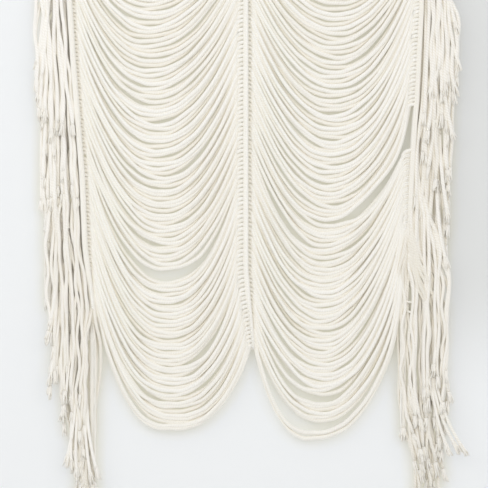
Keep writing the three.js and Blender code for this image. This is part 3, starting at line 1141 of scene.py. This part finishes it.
def covered_group():
    """A colour that turns towards its product with a tint where cords lie close."""
    group, given, wanted = new_group(
        "warm where covered",
        {"Colour": "Color", "Tint": "Color", "Distance": "Float"},
        {"Colour": "Color"},
    )
    cover = group.nodes.new("ShaderNodeAmbientOcclusion")
    cover.samples = COVER_SAMPLES
    feed(group, given["Distance"], cover.inputs["Distance"])
    tinted = colour_mix(group, given["Colour"], given["Tint"], 1.0, "MULTIPLY")
    feed(group, colour_mix(group, tinted, given["Colour"], cover.outputs["AO"]), wanted["Colour"])
    return group


warm_where_covered = covered_group()


def warmed(tree, colour, distance, tint):
    """A colour through the group, with the material's own distance and tint."""
    warmth = place_group(tree, warm_where_covered)
    warmth.inputs["Distance"].default_value = distance
    warmth.inputs["Tint"].default_value = tint
    feed(tree, colour, warmth.inputs["Colour"])
    return warmth.outputs["Colour"]


print(warm_where_covered.name, len(warm_where_covered.nodes), "nodes")

# %% [markdown]
# Four cottons are made from the groups. The hanging cords and the tails have a clear
# twist. A hitch pulls the twist tight, so the knots are smoother, and a loose yarn has
# hardly any left. The knots' cotton is also paler, as painted light on the ribs. The
# tone of a tube leads from the palest colour of its cotton to the darkest.

# %% Cotton materials
COTTON_SURFACE = {
    "Roughness": 0.92, "Specular IOR Level": 0.2, "Sheen Weight": 1.0, "Sheen Roughness": 0.6,
}
BUMP_DISTANCE = 0.0006
COVER_DISTANCE = 0.007
COVER_TINT = (1.0, 0.96, 0.87, 1)
COTTONS = {
    # palest and darkest colour, twist length, bump
    "cord": ((0.965, 0.957, 0.930), (0.91, 0.883, 0.81), 0.012, 0.6),
    "tails": ((1.0, 0.99, 0.965), (0.85, 0.815, 0.735), 0.014, 0.6),
    # The knots are paler as painted light on the ribs.
    "knots": ((0.98, 0.975, 0.95), (0.95, 0.94, 0.90), 0.012, 0.2),
    "yarns": ((0.98, 0.965, 0.93), (0.95, 0.93, 0.88), 0.014, 0.05),
}
COTTON_OF = {"knots": "knots", "frayed_ends": "yarns", "tails": "tails", "ties": "tails"}


def new_material(name, settings):
    """A material, its node tree and its shader, with plain values set on the shader."""
    material = bpy.data.materials.new(name)
    material.use_nodes = True
    shader = material.node_tree.nodes["Principled BSDF"]
    for socket, value in settings.items():
        shader.inputs[socket].default_value = value
    return material, material.node_tree, shader


def cotton(name, palest, darkest, twist_length, bump):
    """A cotton material whose colour and bump follow the twist."""
    material, tree, shader = new_material("cotton " + name, COTTON_SURFACE)
    twist = place_group(tree, twisted_cotton)
    twist.inputs["Twist length"].default_value = twist_length
    colour = colour_mix(tree, (*palest, 1), (*darkest, 1), twist.outputs["Tint"])
    feed(tree, warmed(tree, colour, COVER_DISTANCE, COVER_TINT), shader.inputs["Base Color"])
    relief = tree.nodes.new("ShaderNodeBump")
    relief.inputs["Strength"].default_value = bump
    relief.inputs["Distance"].default_value = BUMP_DISTANCE
    feed(tree, twist.outputs["Height"], relief.inputs["Height"])
    feed(tree, relief.outputs[0], shader.inputs["Normal"])
    return material


cottons = {name: cotton(name, *values) for name, values in COTTONS.items()}
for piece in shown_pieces():
    kind = "cord"
    for ending, cotton_name in COTTON_OF.items():
        if piece.name.endswith(ending):
            kind = cotton_name
    piece.data.materials.clear()
    piece.data.materials.append(cottons[kind])
    print(piece.name, "is of", cottons[kind].name)

# %% [markdown]
# The curtain hangs close in front of a pale wall, which catches its shadow. The wall is
# darker towards its upper right as painted shade, tinted warm close behind the curtain as
# painted shade, and glows by itself as painted light. The wall and the floor are only a
# stage. Seen from behind, the wall lets the camera through, so the back of the curtain
# can be looked at as well.

# %% Wall paint
PAINT_ROUGHNESS = 0.9
WALL_COLOUR = (0.562, 0.576, 0.590, 1)
# Painted shade towards the upper right, and a warm painted shade close behind the curtain.
WALL_SHADE = (0.478, 0.487, 0.489, 1)
# The wall glows by itself in its own colour, painted light that lifts its shadows.
WALL_PAINTED_GLOW = 0.560
SHADE_ACROSS = (0.10, 0.36)
SHADE_UP = (-0.82, -0.60)
WALL_COVER, WALL_COVER_TINT = 0.024, (0.96, 0.89, 0.66, 1)


def smooth_step(tree, value, low, high):
    """A mask from 0 to 1 that rises smoothly between two values."""
    node = tree.nodes.new("ShaderNodeMapRange")
    node.interpolation_type = "SMOOTHSTEP"
    node.inputs["From Min"].default_value = low
    node.inputs["From Max"].default_value = high
    feed(tree, value, node.inputs["Value"])
    return node.outputs[0]


def clear_from_behind(tree, shader):
    """Lets the camera look through the back of a surface."""
    clear = tree.nodes.new("ShaderNodeBsdfTransparent")
    geometry = tree.nodes.new("ShaderNodeNewGeometry")
    path = tree.nodes.new("ShaderNodeLightPath")
    both = math_node(tree, "MULTIPLY", geometry.outputs["Backfacing"], path.outputs["Is Camera Ray"])
    choice = tree.nodes.new("ShaderNodeMixShader")
    feed(tree, both, choice.inputs[0])
    feed(tree, shader.outputs[0], choice.inputs[1])
    feed(tree, clear.outputs[0], choice.inputs[2])
    feed(tree, choice.outputs[0], tree.nodes["Material Output"].inputs["Surface"])


def wall_paint():
    """Pale paint with painted shade to the upper right and close to the curtain, and a painted glow.
    """
    settings = {"Roughness": PAINT_ROUGHNESS, "Emission Strength": WALL_PAINTED_GLOW}
    material, tree, shader = new_material("wall paint", settings)
    clear_from_behind(tree, shader)
    on_wall = tree.nodes.new("ShaderNodeSeparateXYZ")
    feed(tree, tree.nodes.new("ShaderNodeTexCoord").outputs["Object"], on_wall.inputs[0])
    to_right = smooth_step(tree, on_wall.outputs[0], *SHADE_ACROSS)
    upwards = smooth_step(tree, on_wall.outputs[1], *SHADE_UP)
    shade_mask = math_node(tree, "MULTIPLY", to_right, upwards)
    paint = warmed(tree, colour_mix(tree, WALL_COLOUR, WALL_SHADE, shade_mask), WALL_COVER, WALL_COVER_TINT)
    feed(tree, paint, shader.inputs["Base Color"])
    feed(tree, paint, shader.inputs["Emission Color"])
    return material


# %% Wall and floor
WALL_SIZE, WALL_BEHIND = 5, 0.0192
FLOOR_SIZE, FLOOR_FORWARD, FLOOR_BELOW = 8, -2, -1.35
FLOOR_COLOUR = (0.82, 0.81, 0.79, 1)


def staged(name, material):
    """Names the plane just added and paints it."""
    plane = bpy.context.object
    plane.name = name
    plane.data.materials.append(material)
    print(name, "at", tuple(plane.location))


deselect_all()
bpy.ops.mesh.primitive_plane_add(
    size=WALL_SIZE, location=(0, WALL_BEHIND, 0), rotation=(math.pi / 2, 0, 0)
)
staged("wall", wall_paint())
deselect_all()
bpy.ops.mesh.primitive_plane_add(size=FLOOR_SIZE, location=(0, FLOOR_FORWARD, FLOOR_BELOW))
floor_settings = {"Base Color": FLOOR_COLOUR, "Roughness": PAINT_ROUGHNESS}
staged("floor", new_material("floor paint", floor_settings)[0])

# %% [markdown]
# The light is soft, as from a window at the left. That lamp stands high and near, so
# its light fades downwards. Two more fill in from the room, and a pale world lights
# the gaps, which a single lamp would leave black.

# %% Lamps
AIM = (0, 0, -0.55)
LAMPS = {
    # place, size, power
    "window": ((-1.25, -1.40, 0.45), 1.3, 5.6),
    "room": ((-0.1, -2.3, 0.25), 1.3, 5.6),
    "fill": ((1.5, -2.6, -0.10), 1.4, 6.0),
}
WORLD_COLOUR = (1.0, 0.99, 0.97, 1)
WORLD_STRENGTH = 0.80


def lamp(name, place, size, power):
    """A square soft light aimed at the middle of the curtain."""
    data = bpy.data.lights.new(name, "AREA")
    data.size = size
    data.energy = power
    light = bpy.data.objects.new(name, data)
    bpy.context.scene.collection.objects.link(light)
    light.location = place
    away = [p - a for p, a in zip(place, AIM)]
    flat = math.hypot(away[0], away[1])
    light.rotation_euler = (math.atan2(flat, away[2]), 0, math.atan2(away[0], -away[1]))
    print(name, "lamp,", power, "W")


for name, (place, size, power) in LAMPS.items():
    lamp(name, place, size, power)
world = bpy.context.scene.world or bpy.data.worlds.new("room light")
bpy.context.scene.world = world
world.use_nodes = True
background = world.node_tree.nodes["Background"]
background.inputs["Color"].default_value = WORLD_COLOUR
background.inputs["Strength"].default_value = WORLD_STRENGTH
